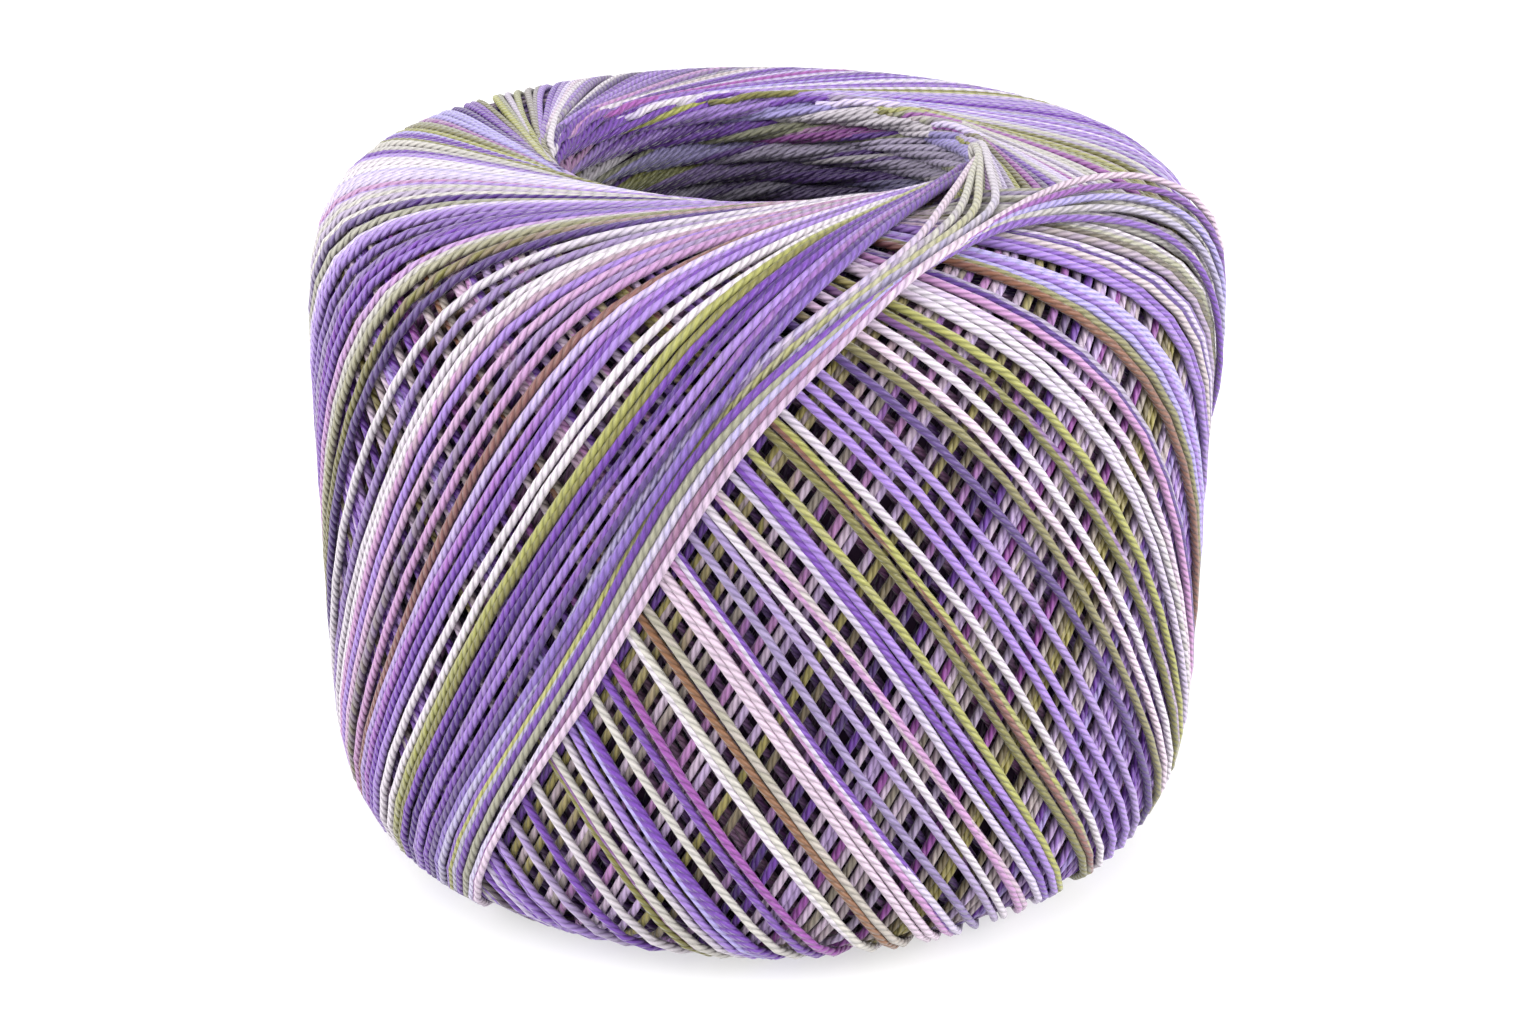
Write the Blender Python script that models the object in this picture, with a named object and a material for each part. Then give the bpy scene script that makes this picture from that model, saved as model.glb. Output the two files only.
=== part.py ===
# Cake of crochet thread: one thread wound in tilted loops round an open centre hole.
# Metres, +Z up. Origin on the axis of the hole, in the plane the cake stands on.
import math

import bmesh
import bpy
import numpy as np

# Driving dimensions
CAKE_RADIUS = 0.033          # widest, at mid height
CAKE_HEIGHT = 0.0517
HOLE_RADIUS = 0.0146         # at the neck, where the threads turn
CROWN_RADIUS = 0.0172        # highest circle of the top face
LIP_DROP = 0.0007            # from the highest circle down to the neck
SHOULDER_ACROSS = 3.6        # power across, in the shoulder's rounded outline
SHOULDER_UP = 6.0            # power along the height
THREAD = 0.00065             # thickness of the thread

# The loops: their lean from the upright at the side, and the turn at which the last one
# crosses the top, counted from the front (-Y) towards +X
UPPER_LEAN = math.radians(35.0)
LOWER_LEAN = math.radians(31.0)
LAST_LOOP = math.radians(68.0)

# The mesh follows the loops: their two ways run along its two diagonals
COLUMNS = 84
OUTER_ROWS = COLUMNS // 2    # a loop makes half a turn from the upper neck to the lower one
BAND_COLUMNS = 3             # two raised columns and one furrow are a band of threads
LAST_COLUMN = round(LAST_LOOP * COLUMNS / (2 * math.pi))
HOLE_RINGS = 9

FURROW_DEPTH = 1.3 * THREAD
LAST_BAND_RISE = 0.7 * THREAD
LAYER_DROP = 1.0 * THREAD    # from the youngest loops down to the oldest that show
FADE_WIDTH = 0.0040          # round the neck, where the bands run together
RING_RISE = 0.0009

# The flat ring that it stands on
FOOT_INNER = 0.0183
FOOT_OUTER = 0.0250
FOOT_CLEAR = 0.0003          # least height of the threads beside the ring

VIOLET = (0.33, 0.20, 0.52)
OUTLINE_STEPS = 2400


def crown_height(radius):
    """Height over mid height of the upper outline, from the neck out to the side."""
    half = CAKE_HEIGHT / 2
    if radius < CROWN_RADIUS:
        inward = (CROWN_RADIUS - radius) / (CROWN_RADIUS - HOLE_RADIUS)
        return half - LIP_DROP * (1 - math.sqrt(max(0.0, 1 - inward ** 2)))
    outward = (radius - CROWN_RADIUS) / (CAKE_RADIUS - CROWN_RADIUS)
    return half * max(0.0, 1 - outward ** SHOULDER_ACROSS) ** (1 / SHOULDER_UP)


def smooth_outline():
    """Radii, and heights over mid height, from the upper neck round the side to the lower one."""
    sweep = np.linspace(0, math.pi, OUTLINE_STEPS)
    radius = HOLE_RADIUS + (CAKE_RADIUS - HOLE_RADIUS) * (1 - np.cos(sweep)) / 2
    height = np.array([crown_height(value) for value in radius])
    return np.concatenate([radius, radius[-2::-1]]), np.concatenate([height, -height[-2::-1]])


def loop_angle(radius, height):
    """Turn that a loop has made since the upper neck, at each point of the outline.

    On the faces a loop runs straight and touches the hole, and on the side it keeps its lean.
    """
    mid_radius = (radius[1:] + radius[:-1]) / 2
    mid_height = (height[1:] + height[:-1]) / 2
    length = np.hypot(np.diff(radius), np.diff(height))
    lean = np.where(mid_height > 0, UPPER_LEAN, LOWER_LEAN)
    across = np.maximum(np.sin(lean), HOLE_RADIUS / mid_radius)
    turn = across / np.sqrt(1 - across ** 2) * length / mid_radius
    angle = np.concatenate([[0.0], np.cumsum(turn)])
    return angle * math.pi / angle[-1]


def outline_rows():
    """Radius, height and outward normal of each mesh row, at equal turns of a loop."""
    radius, height = smooth_outline()
    angle = loop_angle(radius, height)
    slope_r, slope_z = np.gradient(radius), np.gradient(height)
    rows = []
    for turn in np.linspace(0, math.pi, OUTER_ROWS + 1):
        r, z, dr, dz = (float(np.interp(turn, angle, values))
                        for values in (radius, height, slope_r, slope_z))
        size = math.hypot(dr, dz)
        rows.append((r, z + CAKE_HEIGHT / 2, -dz / size, dr / size))
    return rows


def relief(column, row):
    """Height of the threads over the smooth outline at one point of the mesh.

    Loops run down to the left on most of the cake. Between the two ways of the last loop
    those that run down to the right lie on top. The layer thins from young loops to old.
    """
    wedge = 2 * row
    from_left_edge = (column - LAST_COLUMN + row) % COLUMNS
    if from_left_edge < wedge:
        band = column - row
        age = (wedge - from_left_edge) / wedge
    else:
        band = column + row
        age = (COLUMNS - from_left_edge) / (COLUMNS - wedge)
    height = -LAYER_DROP * age
    if (LAST_COLUMN - band) % COLUMNS < BAND_COLUMNS:
        return height + LAST_BAND_RISE
    return height - FURROW_DEPTH if band % BAND_COLUMNS == 0 else height


def ring_points(radii, heights):
    """One closed ring of points, a radius and a height for each column."""
    points = []
    for column in range(COLUMNS):
        turn = 2 * math.pi * column / COLUMNS
        points.append((radii[column] * math.sin(turn), -radii[column] * math.cos(turn),
                       heights[column]))
    return points


def outer_rings():
    """The outer face from the upper neck to the lower one, with its bands raised."""
    rings = []
    for row, (r, z, normal_r, normal_z) in enumerate(outline_rows()):
        lower_face = z < CAKE_HEIGHT / 4
        if lower_face and FOOT_INNER < r < FOOT_OUTER:
            rings.append(ring_points([r] * COLUMNS, [0.0] * COLUMNS))
            continue
        fade = min(1.0, (r - HOLE_RADIUS) / FADE_WIDTH)
        push = [fade * relief(column, row) for column in range(COLUMNS)]
        radii = [r + normal_r * value for value in push]
        heights = [z + normal_z * value for value in push]
        if lower_face:
            heights = [max(FOOT_CLEAR, value) for value in heights]
        rings.append(ring_points(radii, heights))
    return rings


def hole_rings():
    """The wall of the hole from the lower neck to the upper one, in rope-like rings."""
    low, high = LIP_DROP, CAKE_HEIGHT - LIP_DROP
    rows = 2 * HOLE_RINGS
    rings = []
    for row in range(1, rows):
        radius = HOLE_RADIUS - (RING_RISE if row % 2 else 0.0)
        height = low + (high - low) * row / rows
        rings.append(ring_points([radius] * COLUMNS, [height] * COLUMNS))
    return rings


def wound_mesh(name):
    """The closed solid: each ring joined to the next, and the last to the first."""
    mesh = bpy.data.meshes.new(name)
    solid = bmesh.new()
    rings = [[solid.verts.new(point) for point in ring] for ring in outer_rings() + hole_rings()]
    for row, ring in enumerate(rings):
        below = rings[(row + 1) % len(rings)]
        for column in range(COLUMNS):
            beside = (column + 1) % COLUMNS
            corners = (ring[column], below[column], below[beside], ring[beside])
            down_right = (column - LAST_COLUMN + row + 1) % COLUMNS < 2 * row + 1
            first = 0 if down_right or row >= OUTER_ROWS else 1
            turned = corners[first:] + corners[:first]
            solid.faces.new((turned[0], turned[1], turned[2]))
            solid.faces.new((turned[0], turned[2], turned[3]))
    solid.to_mesh(mesh)
    solid.free()
    mesh.shade_smooth()
    mesh.set_sharp_from_angle(angle=math.radians(50))
    return mesh


def thread_material():
    """Mercerised cotton in violet, the commonest of its colours."""
    material = bpy.data.materials.new("variegated_cotton")
    material.use_nodes = True
    surface = material.node_tree.nodes["Principled BSDF"]
    surface.inputs["Base Color"].default_value = (*VIOLET, 1.0)
    surface.inputs["Roughness"].default_value = 0.55
    surface.inputs["Metallic"].default_value = 0.0
    return material


def build():
    for item in list(bpy.data.objects):
        bpy.data.objects.remove(item)
    cake = bpy.data.objects.new("yarn_cake", wound_mesh("yarn_cake"))
    cake.data.materials.append(thread_material())
    bpy.context.scene.collection.objects.link(cake)


build()
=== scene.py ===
import math

import bpy
import numpy as np
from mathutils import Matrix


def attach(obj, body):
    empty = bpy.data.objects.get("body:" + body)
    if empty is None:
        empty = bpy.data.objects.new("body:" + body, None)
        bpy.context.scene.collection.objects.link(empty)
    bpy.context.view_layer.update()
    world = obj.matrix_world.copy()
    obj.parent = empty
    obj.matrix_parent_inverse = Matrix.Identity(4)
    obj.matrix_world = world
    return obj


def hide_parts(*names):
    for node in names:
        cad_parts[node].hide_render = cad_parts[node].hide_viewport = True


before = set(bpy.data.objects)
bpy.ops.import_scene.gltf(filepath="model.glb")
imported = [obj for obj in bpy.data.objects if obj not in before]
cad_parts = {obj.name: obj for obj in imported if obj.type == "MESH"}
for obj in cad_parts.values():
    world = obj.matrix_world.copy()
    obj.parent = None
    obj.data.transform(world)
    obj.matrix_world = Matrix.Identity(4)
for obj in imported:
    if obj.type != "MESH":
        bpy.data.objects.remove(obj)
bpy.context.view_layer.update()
print("frame loaded")

# Metres, +Z up, front towards -Y. Angles round the cake are degrees from the front towards +X.
# A place is a point of the cake's outline, from 0 at the upper neck, where the threads turn over
# the rim of the hole, down the side to 180 at the lower neck. The thread is followed back from
# its last loop in half turns, from neck to neck. Even ones run down to the left on the side, odd
# ones down to the right. Its age is how far its loops have crept round the cake, in degrees.
cake = {
    "radius": 0.033, "height": 0.0517,
    "hole": 0.0146,                             # radius at the necks
    "crown": 0.0172, "lipDrop": 0.0007,         # highest circle, and the drop to the neck
    "shoulderAcross": (3.6, 4.3), "shoulderUp": (6.0, 6.6),     # powers, upper and lower
    "upperLean": 35.0, "lowerLean": 31.0,       # of a loop from the upright, on the side
    "outlineSteps": 2400,
}

# Dyes of the thread as display colours, by the letters of the charts
dyes = {
    "d": "47157c",              # deep violet
    "v": "7139ab",              # violet
    "l": "a480d4",              # lilac
    "b": "b3a6e8",              # lavender blue
    "k": "dccdf0",              # palest lilac
    "w": "e4dae4",              # off-white
    "c": "cfcac1",              # pale grey
    "g": "a2a184",              # grey green
    "o": "7c7830",              # olive
    "y": "a9a94e",              # yellow green
    "r": "84522f",              # brown
    "m": "c48fc2",              # mauve
    "M": "a04ea8",              # magenta
    "p": "e8d0e2",              # pale pink
}

# A dye for each thread, "-" for a gap and "=" for a wide one before the next. Spaces part the
# groups and mean nothing.
charts = {
    # Threads that run down to the left, from the last one back
    "lastLoops": "pMbgv gyvy ",
    "bundle": "vdvlvdv oy-w-w lvlk-r-m-o ",
    "left": "mlm ww-v=wd-ooc-m vvd-lllk-g d-ccc o l-m kkkk-www ll v-cco v ",
    # Those that run down to the right, from the top right to the bottom left
    "right": (
        "g-g ccw cgo ywddpll-bblb or-ddmp-ww-yor-wp-o-d-ll-l-w yro=ylvkmcw-v-d kvmpp-g r wc-M-v-c "
        "vvblwc r o-w-v-v-v lllv kvv oc v-dd-bw-vo cc "),
    # The other halves of the last loops
    "lastBack": "vbbv",
    # Groups that make up the turns round the back, the older ones and the wall of the hole
    "groups": (
        "vvd", "lvlk", "wwk", "oy", "mm", "bbb", "ccw", "dvv", "kkw", "ll", "g", "pwl", "vlv",
        "wc", "vb", "M", "dvd", "lkl", "yog", "lbv", "vd", "gw"),
}

winding = {
    "seed": 41,
    "lastLoop": 87.0,           # where the last family of loops would touch the hole
    "wedge": 76.0,              # round the hole, from the last loop to the youngest on its right
    "wedgeStart": 8.0,          # from there to the first one of the right chart
    # From thread to thread round the cake, and what the charts' gaps add
    "lastSpacing": 0.84, "bundleSpacing": 1.26, "spacing": 1.43,
    "bundleGap": 1.0, "gap": 2.3, "backGap": 2.1, "wideGap": 4.2,
    "spacingSpread": (0.94, 1.08), "gapSpread": (0.7, 1.3),
    "madeUpGroups": 240,        # for the turns that don't show from the front
    "fadeLoops": 16,            # after the right chart, back to an even row
    "settled": (0, 40, 140, 180),       # turns at which the right chart's shift comes and goes
    "wander": 0.27,             # degrees
    "waves": (2.0, 5.0, 9.0),   # in a whole turn
    "layer": 0.00060,           # one thread lying on another
    "oddMiddle": 0.75,          # how far on in its loop the middle of an odd half turn is
    "packing": 0.5,             # share of the layers' depth lost at the lower shoulder
    "packed": (116, 130, 156, 176),     # places at which that comes and goes
    # Places along the outline, and more of them round the shoulders
    "places": 721, "crowded": (5, 65, 115, 175), "crowding": 1.4, "crowdWidth": 13.0,
}
neck = {
    "rise": 0.0012,             # a thread climbs from under the others to over them
    "dip": (-48, -14, -23, 17),         # degrees of turn past the neck at which it comes and goes
    "outward": 0.7,             # share of the depth that is a step outward here
    "width": 24.0,              # degrees of turn
    "spread": 0.0011,           # how unevenly they reach into the hole
    "spreads": (0.0, 0.08, 0.5, 0.65, 0.75, 0.85, 1.0),
    "pile": 0.00020, "pileWidth": 36.0,
}
thread = {
    "thickness": 0.00058,
    "lay": 0.0026, "plies": 3,          # length of one twist, and the strands twisted
    "neckGirth": 0.8, "neckReach": 0.3,         # squeezed at the necks, up to so many half turns
    "tip": 1e-3,                # how far past its end it closes, as a share of a segment
    "weld": 2e-6,               # points nearer than this become one
    "brightness": 0.67,
    # Painted shade: red, green and blue of the light that reaches each layer, multiplied into the
    # dye
    "tints": ((1.0, 0.80, 0.28, 0.12), (1.0, 0.68, 0.15, 0.05), (1.0, 0.80, 0.27, 0.12)),
}


# A display colour as linear red, green and blue
def linear(code):
    values = np.array([int(code[i:i + 2], 16) for i in (0, 2, 4)]) / 255
    return np.where(values < 0.04045, values / 12.92, ((values + 0.055) / 1.055) ** 2.4)


# From 0 at the start to 1 at the end, rounded at both
def ramp(value, start, end):
    share = np.clip((value - start) / (end - start), 0.0, 1.0)
    return share * share * (3 - 2 * share)


# Rises from the foot to the top, and falls from the edge to the end
def hill(value, foot, top, edge, end):
    return ramp(value, foot, top) * ramp(value, end, edge)


# A rounded curve through listed values, as two arrays for np.interp
def smoothTable(places, values, width, step=0.5):
    dense = np.arange(places[0], places[-1] + step / 2, step)
    flat = np.interp(dense, places, values)
    reach = int(3 * width / step)
    bell = np.exp(-(np.arange(-reach, reach + 1) * step / width) ** 2 / 2)
    padded = np.pad(flat, reach, mode="reflect", reflect_type="odd")
    return dense, np.convolve(padded, bell / bell.sum(), mode="valid")


# The outline by place, which is the turn of a loop that runs straight on the faces, touches
# the hole and keeps its lean on the side
def outlineTable():
    sweep = np.linspace(0, math.pi, cake["outlineSteps"])
    radius = cake["hole"] + (cake["radius"] - cake["hole"]) * (1 - np.cos(sweep)) / 2
    half = cake["height"] / 2
    inward = np.clip((cake["crown"] - radius) / (cake["crown"] - cake["hole"]), 0, 1)
    outward = np.clip((radius - cake["crown"]) / (cake["radius"] - cake["crown"]), 0, 1)
    lip = half - cake["lipDrop"] * (1 - np.sqrt(1 - inward ** 2))
    upper, lower = (
        np.where(radius < cake["crown"], lip, half * (1 - outward ** across) ** (1 / up))
        for across, up in zip(cake["shoulderAcross"], cake["shoulderUp"]))
    radius = np.concatenate([radius, radius[-2::-1]])
    height = np.concatenate([upper, -lower[-2::-1]])
    midRadius = (radius[1:] + radius[:-1]) / 2
    midHeight = (height[1:] + height[:-1]) / 2
    length = np.hypot(np.diff(radius), np.diff(height))
    lean = np.radians(np.where(midHeight > 0, cake["upperLean"], cake["lowerLean"]))
    across = np.maximum(np.sin(lean), cake["hole"] / midRadius)
    turn = np.cumsum(across / np.sqrt(1 - across ** 2) * length / midRadius)
    turn = np.concatenate([[0.0], turn])
    slopeR, slopeZ = np.gradient(radius), np.gradient(height)
    size = np.hypot(slopeR, slopeZ)
    onLip = radius < cake["crown"]
    return {
        "place": turn * 180 / turn[-1], "radius": radius, "height": height + half,
        "normalR": np.where(onLip, 0.0, -slopeZ / size),
        "normalZ": np.where(onLip, np.sign(height), slopeR / size),
    }


outline = outlineTable()

# How far round a loop has gone since the upper neck: at radii of the upper face, at heights of
# the side, from the middle as shares of half the height, and at radii of the lower face. Left is
# for the half turns that run down to the left, right for the others.
loopShape = {
    "upperRadii": [0.0146, 0.0150, 0.0155, 0.0190, 0.0253],
    "sideHeights": [0.93, 0.85, 0.7, 0.5, 0.25, 0.0, -0.25, -0.5, -0.75, -0.95],
    "lowerRadii": [0.0253, 0.0190, 0.0155, 0.0146],
    "left": [0, 9, 21, 47, 65, 72, 78.5, 83, 89.7, 96.9, 104, 110.5, 117.6, 123.9, 129,
             134, 150, 168, 180],
    "right": [0, 8, 17, 38, 54, 62, 70, 78.7, 87.5, 96.1, 104, 111, 118.3, 126.1, 132.5,
              138, 153, 170, 180],
    "rounding": 2.5,
}


# The places of those radii and heights
def stationPlaces():
    half = cake["height"] / 2
    total = len(outline["place"]) // 2
    upper, lower = slice(None, total), slice(None, total, -1)
    side = outline["radius"] > loopShape["upperRadii"][-1]
    depth = (half - outline["height"])[side]
    return np.concatenate([
        np.interp(loopShape["upperRadii"], outline["radius"][upper], outline["place"][upper]),
        np.interp([-share * half for share in loopShape["sideHeights"]], depth,
                  outline["place"][side]),
        np.interp(loopShape["lowerRadii"], outline["radius"][lower], outline["place"][lower])])


stations = stationPlaces()
leftward = smoothTable(stations, loopShape["left"], loopShape["rounding"])
rightward = smoothTable(stations, loopShape["right"], loopShape["rounding"])


# The dye and the spacing of each thread in a chart
def readTurns(chart, spacing, gap):
    names, gaps = [], []
    extra = 0.0
    for letter in chart:
        if letter == "-":
            extra = gap
        elif letter == "=":
            extra = winding["wideGap"]
        elif letter != " ":
            names.append(letter)
            gaps.append(spacing * draw.uniform(*winding["spacingSpread"])
                        + extra * draw.uniform(*winding["gapSpread"]))
            extra = 0.0
    return names, gaps


# A chart for threads that don't show from the front
def madeUpTurns(total):
    chart = ""
    for _ in range(total):
        chart += charts["groups"][draw.integers(len(charts["groups"]))] + draw.choice(["", "-"])
    return chart


draw = np.random.default_rng(winding["seed"])       # all that is random is drawn from it in turn
leftCharts = (
    (charts["lastLoops"], winding["lastSpacing"], 0.0),
    (charts["bundle"], winding["bundleSpacing"], winding["bundleGap"]),
    (charts["left"], winding["spacing"], winding["gap"]),
    (madeUpTurns(winding["madeUpGroups"]), winding["spacing"], winding["backGap"]),
)
leftNames, leftGaps = [], []
for chart, spacing, gap in leftCharts:
    names, gaps = readTurns(chart, spacing, gap)
    leftNames += names
    leftGaps += gaps

# Ages of the loops: those up to 360 show, and about as many older ones lie under them
loopAges = np.concatenate([[0.0], np.cumsum(leftGaps)])
outerTotal = int(np.searchsorted(loopAges, 360.0))
allTotal = int(np.searchsorted(loopAges, 720.0))
loops = allTotal + 3            # with a few to spare
loopAges = loopAges[:loops]

# How far each loop's thread that runs down to the right is off its row, by the right chart
firstRight = int(np.searchsorted(loopAges, winding["wedge"] + winding["wedgeStart"]))
rightNames, rightGaps = readTurns(charts["right"], winding["spacing"], winding["gap"])
rightAges = loopAges[firstRight] - winding["wedge"] + np.cumsum(rightGaps) - rightGaps[0]
charted = slice(firstRight, firstRight + len(rightAges))
faded = slice(charted.stop, charted.stop + winding["fadeLoops"])
rightShift = np.zeros(loops)
rightShift[charted] = loopAges[charted] - winding["wedge"] - rightAges
rightShift[faded] = rightShift[charted.stop - 1] * (
    1 - np.arange(1, winding["fadeLoops"] + 1) / (winding["fadeLoops"] + 1))
print("loops that show", outerTotal, "and older ones", allTotal - outerTotal)

# The last loops don't reach the hole. Along one, from the lower neck (-180) over the top (0)
# down to the side: its angle round the cake and its place, for the very last and for the
# oldest of them. The ends are worked out.
lastPath = {
    "loops": 4,
    "at": [-180, -20, -10, 0, 10, 20, 30, 40, 50, 60, 70, 80, 92],
    "lastAngle": [0, 77, 72, 64.2, 56.8, 47.5, 38.1, 27.9, 20.2, 13.9, 5, -3.4, 0],
    "lastPlace": [180, 70.5, 66.8, 64.2, 63.1, 63.3, 64.6, 66.8, 68.7, 70.9, 74.6, 79.4, 92],
    "oldAngle": [0, 76, 68, 60.2, 52, 44, 36, 25, 16, 8.5, -0.5, -9.4, 0],
    "oldPlace": [180, 80, 74.3, 70.2, 67.6, 66, 65.5, 67.5, 69.7, 71.9, 75.3, 80.3, 92],
    "rounding": 4.0,
    # In layers: how deep they lie, how high they cross the others, and the drop to the next
    "rest": 0.2, "lift": 1.35, "liftDrop": 0.1,
    "liftAway": (90, 50), "liftBack": (-60, -40),       # where along it the lift ends
}
# Next to them a few threads leave the last loops for the hole: how far they swing to the
# right of their row, at places on the outline, for the first and the last of them
fan = {
    "loops": (5, 8),
    "at": [0, 10, 30, 42, 50, 57, 61, 63.3, 64.6, 66.8, 68.7, 70.9, 74.6, 79.4, 92, 180],
    "first": [0, 3, 13, 17.5, 18, 18.8, 18.8, 18, 15, 9, 4.1, 2.2, -0.6, -2, 0, 0],
    "last": [0, 2, 6, 8, 8.6, 9, 9, 9, 8.8, 7.6, 4.6, 2.4, -0.6, -2, 0, 0],
    "rounding": 1.5,
    "rise": 0.7, "risen": (8, 20, 64, 72),      # in layers, over the top
    "sink": 0.6, "sunk": (66, 74, 86, 100),     # under the last loops, round the shoulder
    "dyes": "wccp", "knots": (0.05, 0.26, 0.42),
}
dyeing = {
    "start": -2.0, "startDye": "m",             # ahead of the last loop, in half turns
    "knots": (0.10, 0.32, 0.54, 0.76),          # places of a new mix, in a half turn
    "knotSpread": (-0.05, 0.17),
    "calm": 0.76,               # share of the knots that keep close to the chart
    "calmMix": (0.0, 0.12), "boldMix": (0.3, 0.8),      # share of another dye
    "strength": (0.88, 1.08),
    "ahead": 0.06,              # half turns, from the first ply's dye to the last one's
}


# A dye for each half turn
def halfTurnNames():
    names = []
    for loop in range(loops):
        names.append(leftNames[loop])
        if loop < len(charts["lastBack"]):
            names.append(charts["lastBack"][loop])
        elif 0 <= loop - firstRight < len(rightNames):
            names.append(rightNames[loop - firstRight])
        else:
            names.append(leftNames[loop])
    return names


# Where along the thread its mix of dyes changes, in half turns, and the mixes
def dyeKnots():
    places, colours = [dyeing["start"]], [linear(dyes[dyeing["startDye"]])]
    allGroups = "".join(charts["groups"])
    first, last = fan["loops"]
    for half, chartName in enumerate(halfTurnNames()):
        loop = half // 2
        inFan = half % 2 == 0 and first <= loop <= last
        for knot in fan["knots"] if inFan else dyeing["knots"]:
            onFan = inFan and knot < fan["knots"][-1]
            name = fan["dyes"][loop - first] if onFan else chartName
            places.append(half + knot + draw.uniform(*dyeing["knotSpread"]))
            other = linear(dyes[allGroups[draw.integers(len(allGroups))]])
            calm = draw.uniform() < dyeing["calm"]
            share = draw.uniform(*dyeing["calmMix" if calm else "boldMix"])
            colours.append((linear(dyes[name]) * (1 - share) + other * share)
                           * draw.uniform(*dyeing["strength"]))
    return np.array(places), np.array(colours)


dyePlaces, dyeColours = dyeKnots()
loopSpread = draw.choice(neck["spreads"], loops)
loopPile = draw.uniform(-1, 1, loops)
wavePhase = draw.uniform(0, 2 * math.pi, (2 * loops + 4, len(winding["waves"])))
print("dyed", len(dyePlaces), "knots along the thread")


def dyeAt(steps):
    return np.stack([np.interp(steps, dyePlaces, dyeColours[:, i]) for i in range(3)], axis=1)


# Places along the outline at even steps, closer together round the shoulders
def evenPlaces():
    place = np.linspace(0, 180, winding["places"])
    density = 1.0 + sum(
        winding["crowding"] * np.exp(-((place - middle) / winding["crowdWidth"]) ** 2)
        for middle in winding["crowded"])
    total = np.concatenate([[0.0], np.cumsum((density[1:] + density[:-1]) / 2)])
    return total / total[-1] * 180, place


even = evenPlaces()


# Points at a place on the outline and an angle round the cake, off both
def onCake(place, angle, offset, outward):
    radius, height, normalR, normalZ = (
        np.interp(place, outline["place"], outline[key])
        for key in ("radius", "height", "normalR", "normalZ"))
    radius = radius + normalR * offset + outward
    height = np.maximum(height + normalZ * offset, thread["thickness"] / 2)
    side = np.radians(angle)
    return np.stack([radius * np.sin(side), -radius * np.cos(side), height], axis=1)


# Whether a thread lies over those that it crosses, and its share of the way down its layer.
# The ones that run down to the right are over in the wedge right of the last loop, the others
# are over elsewhere, and young ones lie over old ones. Wedge is its width at each point, less
# than 0 above its tip.
def whoLiesOver(down, wedge, loop, age):
    nextLoop = np.minimum(loop + 1, loops - 1)
    middle = loopAges[loop] + winding["oddMiddle"] * (loopAges[nextLoop] - loopAges[loop])
    middle = middle - 360 * (middle >= 360)
    rightAge = np.mod(middle - winding["wedge"], 360) + age - middle + np.maximum(-wedge, 0)
    label = np.where(down, age, np.clip(rightAge, 0, 360))
    least = 1e-6
    width = np.maximum(wedge, least)
    rest = np.maximum(360 - width, least)
    over = np.where(down, label < rest, label < width)
    share = np.where(down, np.where(over, label / rest, (width + label - 360) / width),
                     np.where(over, label / width, (label - width) / rest))
    return over, np.clip(share, 0, 1)


# The climb at each neck, from under the other threads to over them: the new depth, and how
# far out of the hole the threads stay
def climbNecks(turn, down, over, share, offset, lowLoop, highLoop):
    spread = np.zeros(len(turn))
    for fromNeck, before, loop in ((turn, ~down, highLoop), (180 - turn, down, lowLoop)):
        signed = np.where(before, -fromNeck, fromNeck)
        # Before the neck the youngest of those that lie over don't dip
        buried = np.where(before & over, ramp(share, 0, 1), 1.0)
        sunk = neck["rise"] * hill(signed, *neck["dip"]) * buried
        near = np.exp(-(fromNeck / neck["width"]) ** 2)
        uneven = neck["spread"] * loopSpread[loop]
        spread = spread + (uneven + neck["outward"] * (sunk - offset)) * near
        offset = (offset - sunk) * (1 - neck["outward"] * near)
        piled = np.exp(-(fromNeck / neck["pileWidth"]) ** 2)
        offset = offset + neck["pile"] * loopPile[loop] * piled
    return offset, spread


# Swings the fan's threads to the right of their row, and lifts them over the top
def swingFan(place, down, lowLoop, angle, offset):
    raised = fan["rise"] * hill(place, *fan["risen"]) - fan["sink"] * hill(place, *fan["sunk"])
    first, last = fan["loops"]
    for loop in range(first, last + 1):
        share = (loop - first) / (last - first)
        swing = (1 - share) * np.array(fan["first"]) + share * np.array(fan["last"])
        swing = np.interp(place, *smoothTable(fan["at"], swing, fan["rounding"]))
        mine = down & (lowLoop == loop)
        angle = angle + np.where(mine, swing, 0.0)
        offset = np.where(mine, offset + winding["layer"] * raised, offset)
    return angle, offset


# Angle and place at points along one of the last loops
def lastLoopAt(loop, along):
    share = min(loop / lastPath["loops"], 1.0)
    angle, place = (
        (1 - share) * np.array(lastPath["last" + key]) + share * np.array(lastPath["old" + key])
        for key in ("Angle", "Place"))
    row = winding["lastLoop"] - loopAges[loop]
    angle[0] = row + 180
    angle[-1] = row - np.interp(lastPath["at"][-1], *leftward)
    return (np.interp(along, *smoothTable(lastPath["at"], values, lastPath["rounding"]))
            for values in (angle, place))


# Lets the last loops cross the top further out, over the others. It changes the arrays.
def bendLastLoops(steps, down, age, place, angle, offset, spread, depth):
    along = np.where(down, place, -place)
    layer = winding["layer"]
    for loop in range(lastPath["loops"] + 1):
        on = (np.abs(steps - 2 * loop) <= 1) & (along < lastPath["at"][-1])
        if on.any():
            bent, place[on] = lastLoopAt(loop, along[on])
            angle[on] = bent + loopAges[loop] - age[on]
            lift = ramp(np.abs(along[on]), *lastPath["liftAway"])
            lift = lift * ramp(along[on], *lastPath["liftBack"])
            height = lastPath["lift"] - lastPath["liftDrop"] * loop
            offset[on] = layer * (height * lift - lastPath["rest"])
            spread[on] = 0.0
            depth[on] = 0.0


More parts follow.
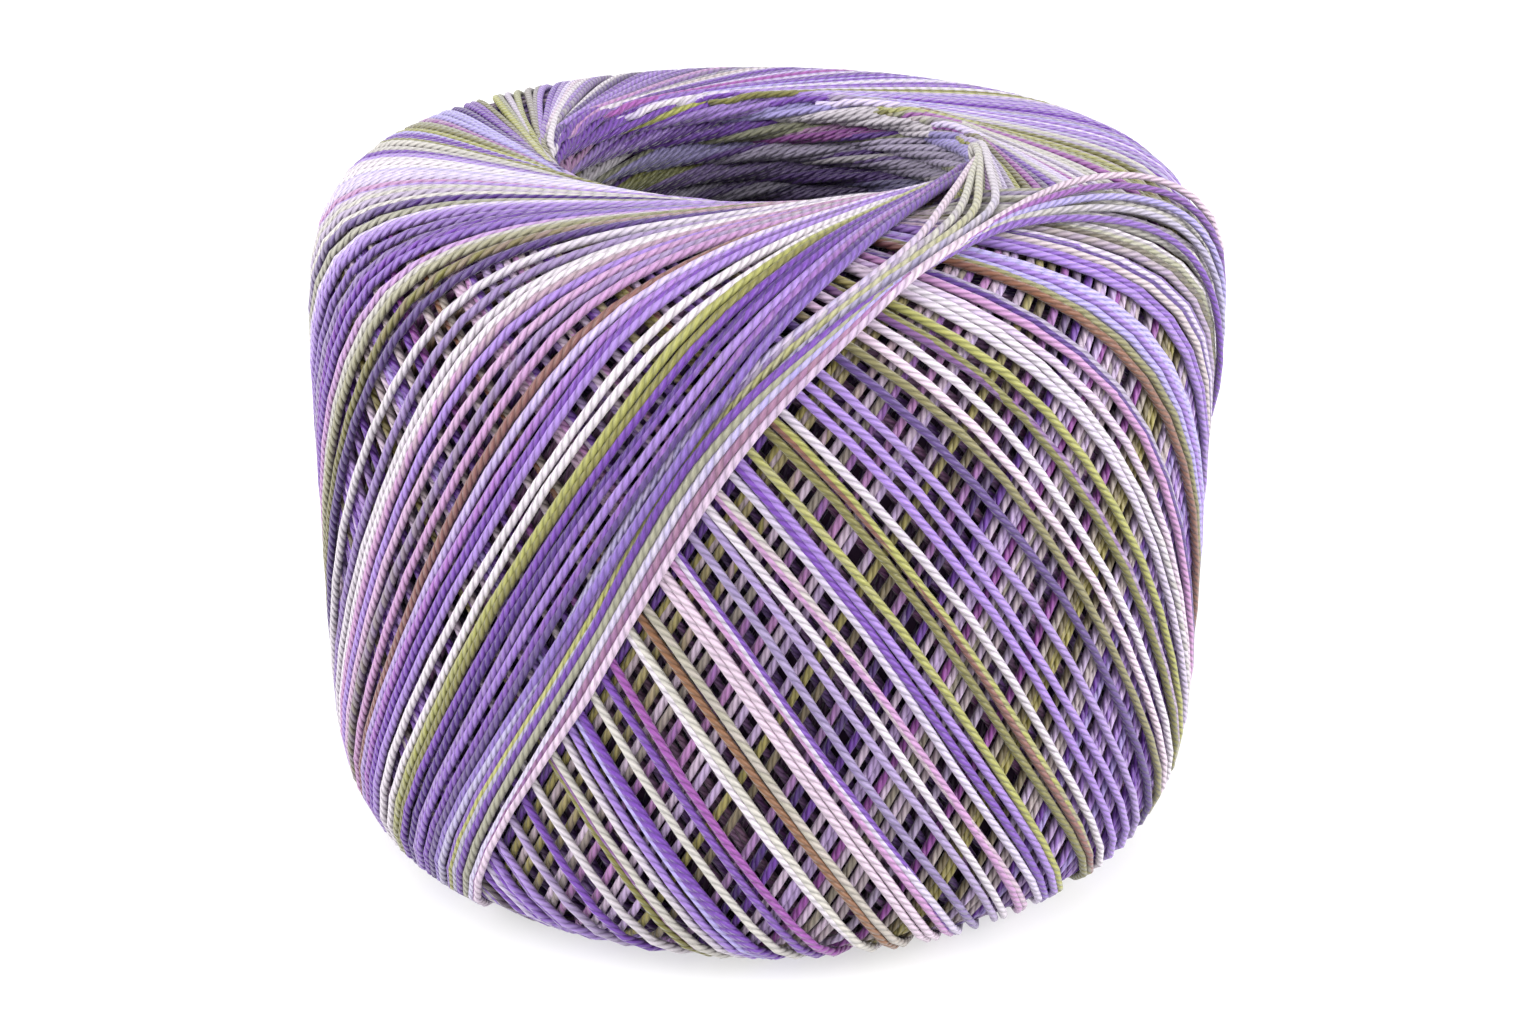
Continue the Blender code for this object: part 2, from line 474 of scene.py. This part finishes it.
# Points of the thread, steps being half turns, and the layer that each is in
def pathPoints(steps):
    half = np.floor(steps).astype(int)
    part = steps - half
    down = half % 2 == 0
    place = np.interp(np.where(down, 180 * part, 180 * (1 - part)), *even)
    left, right = np.interp(place, *leftward), np.interp(place, *rightward)
    turn = np.where(down, left, right)
    lowLoop = np.clip(half // 2, 0, loops - 1)          # whose lower neck is the nearest one
    highLoop = np.clip(np.floor(steps / 2 + 0.5).astype(int), 0, loops - 1)     # and upper neck
    age = np.interp(steps / 2, np.arange(loops), loopAges)
    older = age >= 360

    shift = rightShift[lowLoop] * hill(turn, *winding["settled"])
    angle = winding["lastLoop"] - age + np.where(down, -turn, turn + shift)
    phase = wavePhase[np.clip(half, 0, len(wavePhase) - 1)]
    ripple = sum(np.sin(np.radians(turn) * rate + phase[:, i])
                 for i, rate in enumerate(winding["waves"]))
    angle = angle + winding["wander"] * ripple * np.sin(np.radians(turn))

    wedge = left + right - winding["wedge"]
    over, share = whoLiesOver(down, wedge, lowLoop, np.clip(age - 360 * older, 0, 360))
    depth = np.where(over, 0.0, 1.0) + 2.0 * older
    offset = -winding["layer"] * (share + depth)
    offset, spread = climbNecks(turn, down, over, share, offset, lowLoop, highLoop)
    angle, offset = swingFan(place, down, lowLoop, angle, offset)
    bendLastLoops(steps, down, age, place, angle, offset, spread, depth)
    offset = offset * (1 - winding["packing"] * hill(place, *winding["packed"]))
    return onCake(place, angle, offset - thread["thickness"] / 2, spread), depth


# A number socket of a node tree, with arithmetic
class Value:
    def __init__(self, build, socket):
        self.build = build
        self.socket = socket

    def use(self, operation, *others):
        return self.build.maths(operation, self, *others)

    def __add__(self, other):
        return self.use("ADD", other)

    def __sub__(self, other):
        return self.use("SUBTRACT", other)

    def __mul__(self, other):
        return self.use("MULTIPLY", other)

    def __truediv__(self, other):
        return self.use("DIVIDE", other)

    def __rsub__(self, other):
        return self.build.maths("SUBTRACT", other, self)

    def __rtruediv__(self, other):
        return self.build.maths("DIVIDE", other, self)

    __radd__ = __add__
    __rmul__ = __mul__


# Adds nodes to a tree
class Build:
    def __init__(self, tree):
        self.tree = tree

    # Settings are the node's own, inputs are values or links for its sockets
    def node(self, kind, settings=None, **inputs):
        node = self.tree.nodes.new(kind)
        for key, value in (settings or {}).items():
            setattr(node, key, value)
        for key, value in inputs.items():
            self.feed(node, key, value)
        return node

    # An input goes by its name, as startAngle for Start Angle, or by its place, as in2
    def feed(self, node, key, value):
        if key[2:].isdigit():
            socket = node.inputs[int(key[2:])]
        else:
            words = "".join(" " + letter.lower() if letter.isupper() else letter for letter in key)
            socket = next(s for s in node.inputs if s.enabled and s.name.lower() == words)
        if isinstance(value, Value):
            value = value.socket
        if isinstance(value, bpy.types.NodeSocket):
            self.tree.links.new(value, socket)
        else:
            socket.default_value = value

    def maths(self, operation, *values):
        inputs = {f"in{i}": value for i, value in enumerate(values)}
        node = self.node("ShaderNodeMath", {"operation": operation}, **inputs)
        return Value(self, node.outputs[0])


def newMaterial(name, values):
    material = bpy.data.materials.new(name)
    material.use_nodes = True
    for key, value in values.items():
        material.node_tree.nodes["Principled BSDF"].inputs[key].default_value = value
    return material


cottonLook = {
    "surface": {"Roughness": 0.45, "Sheen Weight": 0.25, "Sheen Roughness": 0.4,
                "Specular IOR Level": 0.45},
    # The least brightness, and how much more there is at most. plyShade paints shade into the
    # valleys between the plies and lighter tops on them; fibres and patches are uneven tone.
    "plyShade": (0.62, 0.42), "fibres": (0.85, 0.30), "patches": (0.88, 0.24),
    "valleyPower": 0.5, "leastRidge": 0.001,    # how narrow the dark lines between plies are
    "fibresAcross": 5.0, "fibresAlong": 500.0, "fibrePly": 3.7, "fibreRoughness": 0.6,
    "patchesAlong": 160.0, "patchRoughness": 0.5, "detail": 2.0,
    "relief": 0.00015, "plyRelief": 0.8, "fibreRelief": 0.25,
    "countFrom": 3000.0,        # a multiple of the plies, so that counting them stays above 0
}


# Twisted cotton: its plies run round the thread, and its dye, darkened with painted shade where it
# lies under others, comes with the thread
def threadMaterial():
    look = cottonLook
    material = newMaterial("variegated_cotton", look["surface"])
    surface = material.node_tree.nodes["Principled BSDF"]
    build = Build(material.node_tree)

    def noise(dimensions, roughness, **where):
        node = build.node("ShaderNodeTexNoise", {"noise_dimensions": dimensions}, **where,
                          scale=1.0, detail=look["detail"], roughness=roughness)
        return Value(build, node.outputs["Fac"])

    def brightness(value, least, more):
        return value * more + least

    where = build.node("ShaderNodeUVMap", {"uv_map": "thread"}).outputs["UV"]
    parts = build.node("ShaderNodeSeparateXYZ", vector=where).outputs
    around, metres = Value(build, parts["X"]), Value(build, parts["Y"])
    phase = (around + metres / thread["lay"]) * thread["plies"]
    ply = phase.use("FRACT")
    ridge = (ply * math.pi).use("SINE")
    fibreAt = build.node(
        "ShaderNodeCombineXYZ", x=ply * look["fibresAcross"], y=metres * look["fibresAlong"],
        z=phase.use("FLOOR") * look["fibrePly"])
    fibre = noise("3D", look["fibreRoughness"], vector=fibreAt.outputs[0])
    patch = noise("1D", look["patchRoughness"], w=metres * look["patchesAlong"])
    # Painted shade: the base colour is darker in the valleys between the plies and lighter on their
    # tops
    plyLight = ridge.use("MAXIMUM", look["leastRidge"]).use("POWER", look["valleyPower"])
    shade = (brightness(plyLight, *look["plyShade"]) * brightness(fibre, *look["fibres"])
             * brightness(patch, *look["patches"]))

    dye, ahead = (
        build.node("ShaderNodeAttribute", {"attribute_name": name}).outputs["Color"]
        for name in ("dye", "dyeAheadAndShade"))
    which = (phase.use("FLOOR") + look["countFrom"]).use("MODULO", float(thread["plies"]))
    mixed = build.node("ShaderNodeMix", {"data_type": "RGBA"},
                       in0=which / (thread["plies"] - 1.0), in6=dye, in7=ahead)
    shaded = build.node("ShaderNodeVectorMath", {"operation": "SCALE"},
                        vector=mixed.outputs[2], scale=shade)
    bump = build.node("ShaderNodeBump", strength=1.0, distance=look["relief"],
                      height=ridge * look["plyRelief"] + fibre * look["fibreRelief"])
    build.feed(surface, "baseColor", shaded.outputs[0])
    build.feed(surface, "normal", bump.outputs["Normal"])
    return material


# Margins of a thread's strip in the OFBake map, as shares of the strip
bakeMargin = {"ends": 0.01, "sides": 0.08}


# Turns a polyline into a round thread with its own coordinates
def tubeTree():
    tree = bpy.data.node_groups.new("thread_tube", "GeometryNodeTree")
    for name, inOut, kind in (
            ("Geometry", "INPUT", "Geometry"), ("Sides", "INPUT", "Int"), ("Rows", "INPUT", "Float"),
            ("Material", "INPUT", "Material"), ("Geometry", "OUTPUT", "Geometry")):
        tree.interface.new_socket(name, in_out=inOut, socket_type="NodeSocket" + kind)
    build = Build(tree)
    given = build.node("NodeGroupInput").outputs
    sides, rows = Value(build, given["Sides"]), Value(build, given["Rows"])

    def named(name):
        node = build.node("GeometryNodeInputNamedAttribute", {"data_type": "FLOAT"}, name=name)
        return Value(build, node.outputs["Attribute"])

    def store(geometry, name, kind, domain, value):
        node = build.node("GeometryNodeStoreNamedAttribute", {"data_type": kind, "domain": domain},
                          geometry=geometry, name=name, value=value)
        return node.outputs[0]

    curve = build.node("GeometryNodeMeshToCurve", mesh=given["Geometry"])
    profile = build.node("GeometryNodeCurveArc", resolution=sides + 1.0, radius=1.0,
                         startAngle=0.0, sweepAngle=2 * math.pi)
    factor = build.node("GeometryNodeSplineParameter").outputs["Factor"]
    capture = build.node("GeometryNodeCaptureAttribute")
    capture.capture_items.new("FLOAT", "around")
    build.feed(capture, "geometry", profile.outputs["Curve"])
    build.feed(capture, "around", factor)
    around = Value(build, capture.outputs["around"])
    tube = build.node("GeometryNodeCurveToMesh", curve=curve.outputs[0],
                      profileCurve=capture.outputs["Geometry"], scale=named("girth"))
    where = build.node("ShaderNodeCombineXYZ", x=around, y=named("metres"))
    shape = store(tube.outputs[0], "thread", "FLOAT2", "CORNER", where.outputs[0])
    along = named("along")
    shape = store(shape, "row", "FLOAT", "FACE", along.use("FLOOR"))
    row = named("row")
    ends, edges = bakeMargin["ends"], bakeMargin["sides"]
    flat = build.node("ShaderNodeCombineXYZ", x=(along - row) * (1 - 2 * ends) + ends,
                      y=(row + around * (1 - 2 * edges) + edges) / rows)
    shape = store(shape, "OFBake", "FLOAT2", "CORNER", flat.outputs[0])
    shape = build.node("GeometryNodeMergeByDistance", geometry=shape,
                       distance=thread["weld"]).outputs[0]
    shape = build.node("GeometryNodeSetShadeSmooth", geometry=shape).outputs[0]
    shape = build.node("GeometryNodeRealizeInstances", geometry=shape).outputs[0]
    shape = build.node("GeometryNodeSetMaterial", geometry=shape, material=given["Material"])
    build.node("NodeGroupOutput", geometry=shape.outputs[0])
    return tree


cotton = threadMaterial()
tube = tubeTree()
print("thread material and tube tree built")


def addObject(name, data):
    item = bpy.data.objects.new(name, data)
    bpy.context.scene.collection.objects.link(item)
    return item


# Declares a finished piece
# Hangs a finished piece on the root body, hides the imported cake and prints its triangles
def settle(piece):
    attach(piece, "root")
    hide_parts("yarn_cake")
    piece.data.calc_loop_triangles()
    print(piece.name, len(piece.data.loop_triangles), "triangles")


def lengths(points):
    return np.concatenate([[0.0], np.cumsum(np.linalg.norm(np.diff(points, axis=0), axis=1))])


# One value more at each end, where a run closes to a point
def withTips(values):
    return np.concatenate([values[:1], values, values[-1:]])


# The runs as one mesh of lines, with their values on its points
def lineMesh(name, runs):
    joined = {key: np.concatenate([withTips(run[key]) for run in runs])
              for key in ("points", "along", "metres", "girth", "dye", "dyeAheadAndShade")}
    ends = np.cumsum([len(run["points"]) + 2 for run in runs])
    last = ends - 1
    first = np.concatenate([[0], ends[:-1]])
    points = joined["points"]
    for tips, inward in ((first, 1), (last, -1)):
        points[tips] += (points[tips] - points[tips + 2 * inward]) * thread["tip"]
        joined["girth"][tips] = 0.0
    starts = np.setdiff1d(np.arange(ends[-1]), last)
    mesh = bpy.data.meshes.new(name + "_line")
    mesh.from_pydata(points, np.stack([starts, starts + 1], axis=1), [])
    for key in ("along", "metres", "girth"):
        mesh.attributes.new(key, "FLOAT", "POINT").data.foreach_set("value", joined[key])
    for key in ("dye", "dyeAheadAndShade"):
        colour = np.concatenate([joined[key], np.ones((len(points), 1))], axis=1)
        mesh.attributes.new(key, "FLOAT_COLOR", "POINT").data.foreach_set("color", colour.ravel())
    return mesh


# One piece of threads. A run is points, half turns, metres, dyes with painted shade, and girth along
# it.
def layThreads(name, runs, sides):
    mesh = lineMesh(name, runs)
    line = addObject(name + "_line", mesh)
    modifier = line.modifiers.new("tube", "NODES")
    modifier.node_group = tube
    rows = max(math.ceil(run["along"].max()) for run in runs)
    given = {"Sides": sides, "Rows": float(rows), "Material": cotton}
    for item in tube.interface.items_tree:
        if item.in_out == "INPUT" and item.name in given:
            modifier[item.identifier] = given[item.name]
    view = line.evaluated_get(bpy.context.evaluated_depsgraph_get())
    solid = bpy.data.meshes.new_from_object(view)
    bpy.data.objects.remove(line)
    bpy.data.meshes.remove(mesh)
    solid.name = name
    for key in ("along", "metres", "girth", "row"):
        if key in solid.attributes:
            solid.attributes.remove(solid.attributes[key])
    settle(addObject(name, solid))


# The thread from one half turn to another, cut into pieces at the necks
def layLoops(name, first, last, look):
    cuts = np.unique(np.round(np.linspace(first, last, look["pieces"] + 1)))
    cuts[0] = first
    for number, (start, end) in enumerate(zip(cuts[:-1], cuts[1:]), 1):
        steps = np.linspace(start, end, int(round((end - start) * look["segments"])) + 1)
        points, depth = pathPoints(steps)
        # Painted shade: the dye of threads that lie under others is darkened and tinted purple by
        # their layer
        layers = np.arange(len(thread["tints"][0]))
        shade = thread["brightness"] * np.stack(
            [np.interp(depth, layers, channelShade) for channelShade in thread["tints"]], axis=1)
        fromNeck = ramp(np.abs(steps - np.round(steps)), 0, thread["neckReach"])
        girth = thread["neckGirth"] + (1 - thread["neckGirth"]) * fromNeck
        layThreads(f"{name}_{number:02d}", [{
            "points": points, "along": steps - math.floor(start), "metres": lengths(points),
            "dye": dyeAt(steps) * shade, "dyeAheadAndShade": dyeAt(steps + dyeing["ahead"]) * shade,
            "girth": thread["thickness"] / 2 * girth}], look["sides"])


# Segments are for each half turn, and the first half turn starts part of the way along
outerThread = {"start": -0.75, "pieces": 12, "segments": 64, "sides": 8}
innerThread = {"pieces": 4, "segments": 40, "sides": 6}
layLoops("outer_thread", outerThread["start"], 2.0 * outerTotal, outerThread)
layLoops("inner_thread", 2.0 * outerTotal, 2.0 * allTotal, innerThread)

wall = {
    "upperRings": 8, "middleRings": 15, "lowerRings": 7,
    "ringHeight": 0.0016,       # of the upper and lower ones
    "arcs": 66,                 # in each ring
    "reach": 21.0,              # degrees, half of an arc
    "down": 0.0011,             # from the necks to the first rings
    "inset": 0.0001, "insetSpread": 0.0004,     # from the neck's radius out to an arc's middle
    "bulge": 0.0014,            # from there out to its ends
    "climb": 0.0020, "unevenness": 0.0001,
    "turnSpread": 0.3,          # of the way to the next arc
    "newDye": 0.38,             # how often an arc's dye isn't the last one's
    "firstDye": "v", "strength": (0.8, 1.1),
    # Painted shade down the hole: the share of each ring's dye that stays lit
    "light": 0.58, "fade": 0.67, "leastLight": 0.06,    # first ring, from ring to ring, deep down
    "segments": 10, "sides": 6,
    "arcsPerRow": 14, "rowMargin": 0.03,        # in the OFBake map
}


# Short arcs of the older turns: ring below ring down the wall of the hole, or with way -1 ring
# above ring. Passed is how many rings lie between the first of them and the light.
def wallRuns(top, rings, way, ringHeight, passed):
    runs = []
    groups = charts["groups"]
    along = np.linspace(-1, 1, wall["segments"] + 1)
    for ring in range(rings):
        middle = top - way * ringHeight * (ring + 0.5)
        # Painted shade: each ring further down the hole gets a darker dye
        light = max(wall["light"] * wall["fade"] ** (ring + passed), wall["leastLight"])
        name = wall["firstDye"]
        for arc in range(wall["arcs"]):
            if draw.uniform() < wall["newDye"]:
                group = groups[draw.integers(len(groups))]
                name = group[draw.integers(len(group))]
            turned = arc + draw.uniform(-wall["turnSpread"], wall["turnSpread"])
            side = np.radians(360 * turned / wall["arcs"] - wall["reach"] * along)
            inset = wall["inset"] + draw.uniform(0, wall["insetSpread"])
            radius = cake["hole"] + inset + wall["bulge"] * along ** 2
            climb = wall["climb"] / 2 * ringHeight / wall["ringHeight"]
            height = (middle + way * climb * along
                      + draw.uniform(-wall["unevenness"], wall["unevenness"]))
            points = np.stack([radius * np.sin(side), -radius * np.cos(side), height], axis=1)
            dye = linear(dyes[name]) * light * draw.uniform(*wall["strength"])
            row, slot = divmod(len(runs), wall["arcsPerRow"])
            slot = slot + wall["rowMargin"] + (0.5 - wall["rowMargin"]) * (along + 1)
            runs.append({
                "points": points, "along": row + slot / wall["arcsPerRow"],
                "metres": lengths(points),
                "dye": np.tile(dye, (len(along), 1)), "dyeAheadAndShade": np.tile(dye, (len(along), 1)),
                "girth": np.full(len(along), thread["thickness"] / 2)})
    return runs


def makeWall():
    top, bottom = cake["height"] - wall["down"], wall["down"]
    ringHeight = wall["ringHeight"]
    middleTop = top - wall["upperRings"] * ringHeight
    middleHeight = (middleTop - bottom - wall["lowerRings"] * ringHeight) / wall["middleRings"]
    for name, start, rings, way, height, passed in (
            ("upper", top, wall["upperRings"], 1, ringHeight, 0),
            ("middle", middleTop, wall["middleRings"], 1, middleHeight, wall["upperRings"]),
            ("lower", bottom, wall["lowerRings"], -1, ringHeight, 0)):
        runs = wallRuns(start, rings, way, height, passed)
        layThreads("hole_wall_" + name, runs, wall["sides"])


makeWall()

heart = {
    "columns": 96, "rows": 72, "wallRows": 10,
    "inset": 0.0026, "holeInset": 0.0014,       # under the threads outside and in the hole
    "colour": "2c1230", "roughness": 0.9,
}


# A dark mass under the threads, closed round the hole: painted shade that stands for the deeper
# threads lying in shadow
def makeShadeCore():
    place = np.linspace(0, 180, heart["rows"])
    radius = np.interp(place, outline["place"], outline["radius"])
    height = np.interp(place, outline["place"], outline["height"])
    width = cake["radius"] - cake["hole"]
    narrowed = (width - heart["inset"] - heart["holeInset"]) / width
    radius = cake["hole"] + heart["holeInset"] + (radius - cake["hole"]) * narrowed
    middle = cake["height"] / 2
    height = middle + (height - middle) * (middle - heart["inset"]) / middle
    wallHeight = np.linspace(height[-1], height[0], heart["wallRows"] + 2)[1:-1]
    radius = np.concatenate([radius, np.full(len(wallHeight), radius[0])])
    height = np.concatenate([height, wallHeight])
    rows, columns = len(radius), heart["columns"]
    side = np.linspace(0, 2 * math.pi, columns, endpoint=False)
    points = np.stack([
        np.outer(radius, np.sin(side)), -np.outer(radius, np.cos(side)),
        np.repeat(height[:, None], columns, axis=1)], axis=2).reshape(-1, 3)
    faces = []
    for row in range(rows):
        for column in range(columns):
            below, beside = (row + 1) % rows, (column + 1) % columns
            faces.append((row * columns + column, below * columns + column,
                          below * columns + beside, row * columns + beside))
    mesh = bpy.data.meshes.new("heart")
    mesh.from_pydata(points, [], faces)
    mesh.shade_smooth()
    mesh.materials.append(newMaterial("deep_thread_shade", {
        "Base Color": (*linear(heart["colour"]), 1), "Roughness": heart["roughness"]}))
    settle(addObject("heart", mesh))


makeShadeCore()

studio = {
    "floor": 3.0,
    "floorLook": {
        "Base Color": (0.46, 0.46, 0.46, 1), "Emission Color": (1, 1, 1, 1),
        "Emission Strength": 0.52, "Roughness": 0.9},
    "world": 1.0,
    "aim": (0, 0, 0.025),
    # Place, power and width of each lamp
    "lamps": {"key": ((-0.18, -0.35, 0.85), 3.0, 0.7), "right": ((0.6, -0.2, 0.2), 8.0, 0.6),
              "left": ((-0.6, -0.2, 0.2), 6.5, 0.6)},
    "camera": (0.0004, -0.18375, 0.09963), "pitch": 67.31, "lens": 61.92, "sensor": 36.0,
    "clip": (0.01, 20.0),
}


def makeFloor():
    size = studio["floor"]
    mesh = bpy.data.meshes.new("floor")
    corners = [(-size, -size, 0), (size, -size, 0), (size, size, 0), (-size, size, 0)]
    mesh.from_pydata(corners, [], [(0, 1, 2, 3)])
    mesh.materials.append(newMaterial("floor", studio["floorLook"]))
    floor = addObject("floor", mesh)


def makeLights():
    world = bpy.data.worlds.new("studio")
    world.use_nodes = True
    background = world.node_tree.nodes["Background"]
    background.inputs["Color"].default_value = (1, 1, 1, 1)
    background.inputs["Strength"].default_value = studio["world"]
    bpy.context.scene.world = world
    for name, (place, power, width) in studio["lamps"].items():
        data = bpy.data.lights.new(name, "AREA")
        data.energy = power
        data.size = width
        lamp = addObject(name, data)
        lamp.location = place
        x, y, z = np.array(studio["aim"]) - np.array(place)
        lamp.rotation_euler = (math.atan2(math.hypot(x, y), -z), 0, math.atan2(-x, y))


def makeCamera():
    scene = bpy.context.scene
    eye = bpy.data.cameras.new("camera")
    eye.lens = studio["lens"]
    eye.sensor_width = studio["sensor"]
    eye.clip_start, eye.clip_end = studio["clip"]
    camera = addObject("camera", eye)
    camera.location = studio["camera"]
    camera.rotation_euler = (math.radians(studio["pitch"]), 0, 0)
    scene.camera = camera
    scene.view_settings.view_transform = "Standard"


makeFloor()
makeLights()
makeCamera()
print("studio built")
